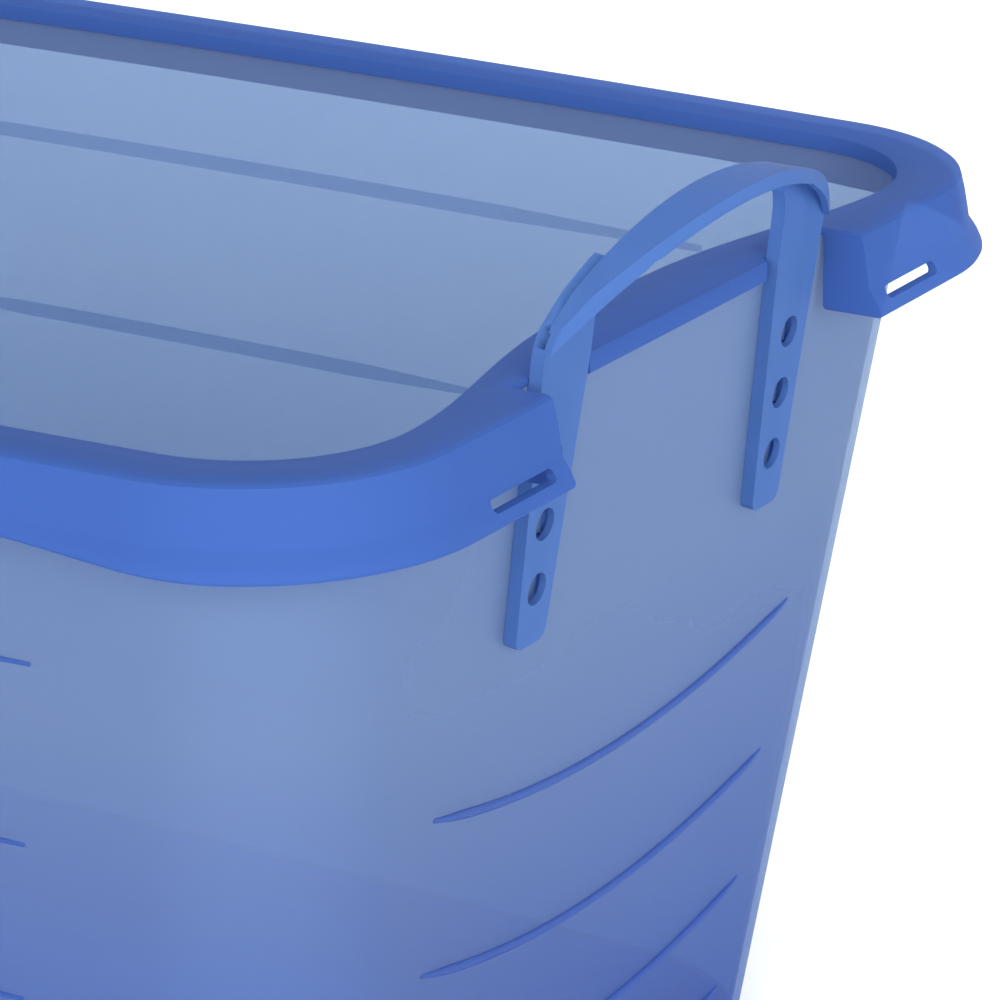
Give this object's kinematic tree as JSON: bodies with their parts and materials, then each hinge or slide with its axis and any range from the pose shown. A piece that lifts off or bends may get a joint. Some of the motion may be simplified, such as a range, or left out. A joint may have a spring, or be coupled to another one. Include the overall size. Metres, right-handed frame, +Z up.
{
  "type": "under bed storage box",
  "caption": "Deep rectangular storage tub with a snapped-on rim frame and a sliding carrying handle at each end.",
  "frame": {"origin": "middle of the base, on the surface that the box stands on", "axes": "+X along the box towards the right-hand handle, +Y across it, +Z up"},
  "size_m": [0.6072, 0.4108, 0.3095],
  "materials": {
    "tub_clear": "clear blue-grey polypropylene, glossy",
    "frame_blue": "translucent mid blue polypropylene, satin gloss",
    "handle_blue": "translucent mid blue polypropylene, satin gloss"
  },
  "bodies": {
    "box": {"tub": "tub_clear", "rim_frame": "frame_blue"},
    "handle_right": {"handle_right": "handle_blue"},
    "handle_left": {"handle_left": "handle_blue"}
  },
  "joints": [
    {"name": "handle_right_slide", "type": "slide", "parent": "box", "child": "handle_right", "axis": [0.1305, 0, 0.9914], "range_m": [-0.037, 0]},
    {"name": "handle_left_slide", "type": "slide", "parent": "box", "child": "handle_left", "axis": [-0.1305, 0, 0.9914], "range_m": [-0.037, 0]}
  ]
}
